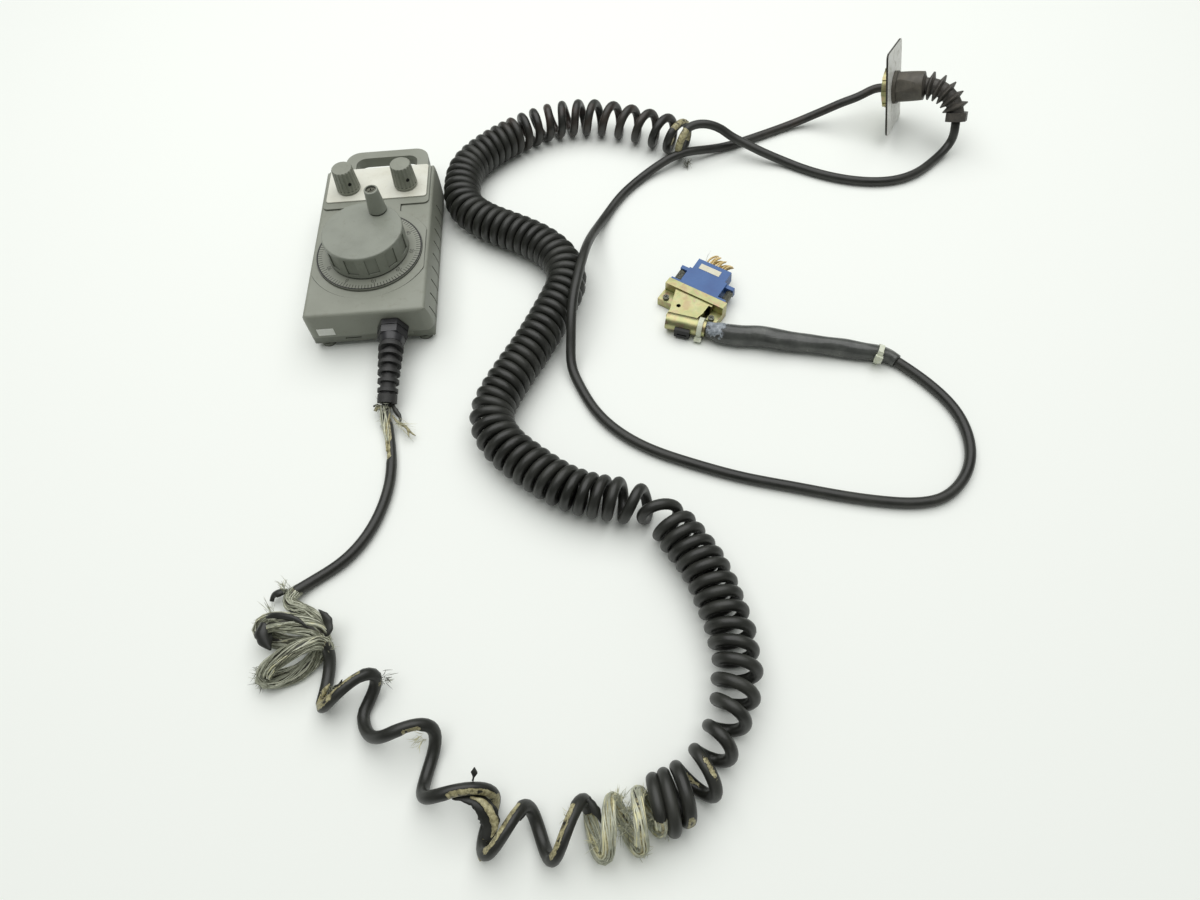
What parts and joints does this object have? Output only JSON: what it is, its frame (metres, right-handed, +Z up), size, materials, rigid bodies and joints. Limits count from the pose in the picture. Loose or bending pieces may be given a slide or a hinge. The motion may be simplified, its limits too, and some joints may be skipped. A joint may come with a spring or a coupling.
{
  "type": "pulse generator handwheel",
  "caption": "Hand-held pulse generator pendant: ribbed handwheel with a crank, two selector knobs, a hanging loop, a frayed curly cord, a bulkhead gland on a plate and a plug.",
  "frame": {"origin": "on the surface the pendant lies on, under the middle of the case with its hanging loop, handwheel and knobs", "axes": "+X to the right of someone holding the pendant with the loop away from them, +Y along the case towards the hanging loop, +Z up out of the dial face"},
  "size_m": [0.5398, 0.6107, 0.0825],
  "materials": {
    "case_plastic": "fine moulded grain",
    "cover_plastic": "fine moulded grain",
    "knob_plastic": "satin",
    "wheel_plastic": "satin",
    "grip_plastic": "satin",
    "seal_rubber": "matt",
    "screw_steel": "bright zinc",
    "black_steel": "black oxide",
    "name_plate": "satin print",
    "sticker": "semi-gloss",
    "dial": "satin print",
    "shaft_steel": "ground",
    "detent_brass": "bright",
    "black_plastic": "matt",
    "board": "solder mask",
    "terminal_plastic": "satin",
    "cord_jacket": "matt",
    "tape": "glossy",
    "plate_steel": "bright rolled",
    "zinc": "yellow passivated",
    "blue_plastic": "satin",
    "wire_jacket": "satin",
    "tie_nylon": "satin"
  },
  "bodies": {
    "case": {"front_case": "case_plastic", "rear_cover": "cover_plastic", "case_gasket": "seal_rubber", "cover_screws": "screw_steel", "label_plate": "name_plate", "end_sticker": "sticker", "dial_plate": "dial", "encoder_housing": "black_plastic", "encoder_base": "black_plastic", "encoder_bearings": "shaft_steel", "detent_spring": "shaft_steel", "sensor_board": "board", "encoder_screws": "screw_steel", "selector_body_left": "terminal_plastic", "selector_body_right": "terminal_plastic", "bushing_nuts": "screw_steel", "circuit_board": "board", "board_screws": "screw_steel", "terminal_block": "terminal_plastic", "gland_body": "black_plastic", "gland_seal": "seal_rubber", "gland_nut": "black_plastic", "gland_locknut": "black_plastic", "bend_protector": "black_plastic", "cord_inner": "cord_jacket", "cord_lead": "cord_jacket", "cord_curl_1": "cord_jacket", "cord_curl_2": "cord_jacket", "cord_curl_3": "cord_jacket", "cord_curl_4": "cord_jacket", "cord_curl_5": "cord_jacket", "cord_curl_6": "cord_jacket", "cord_tail_a": "cord_jacket", "cord_tail_b": "cord_jacket", "cable_sleeve": "tape", "mounting_plate": "plate_steel", "plate_gland_body": "black_plastic", "plate_gland_locknut": "zinc", "plate_bend_protector": "black_plastic", "cord_through": "cord_jacket", "connector_block": "blue_plastic", "wire_stubs": "wire_jacket", "jack_screws": "screw_steel", "connector_hood": "zinc", "hood_screws": "screw_steel", "cord_clamp": "black_plastic", "cable_ties": "tie_nylon"},
    "handwheel": {"handwheel": "wheel_plastic", "wheel_setscrew": "black_steel", "encoder_shaft": "shaft_steel", "code_disc": "shaft_steel", "detent_wheel": "detent_brass", "crank_pin": "screw_steel"},
    "crank_grip": {"crank_grip": "grip_plastic"},
    "selector_left": {"selector_knob_left": "knob_plastic", "knob_setscrew_left": "black_steel", "selector_shaft_left": "shaft_steel"},
    "selector_right": {"selector_knob_right": "knob_plastic", "knob_setscrew_right": "black_steel", "selector_shaft_right": "shaft_steel"}
  },
  "joints": [
    {"name": "handwheel_spin", "type": "hinge", "parent": "case", "child": "handwheel", "pos_m": [0, -0.03675, 0.05], "axis": [0, 0, 1], "continuous": true},
    {"name": "crank_grip_spin", "type": "hinge", "parent": "handwheel", "child": "crank_grip", "pos_m": [0.01056, -0.01688, 0.07], "axis": [0, 0, 1], "continuous": true},
    {"name": "selector_left_turn", "type": "hinge", "parent": "case", "child": "selector_left", "pos_m": [-0.023, 0.03525, 0.05], "axis": [0, 0, 1], "range_deg": [-90, 30]},
    {"name": "selector_right_turn", "type": "hinge", "parent": "case", "child": "selector_right", "pos_m": [0.023, 0.03525, 0.05], "axis": [0, 0, 1], "range_deg": [-30, 30]}
  ]
}
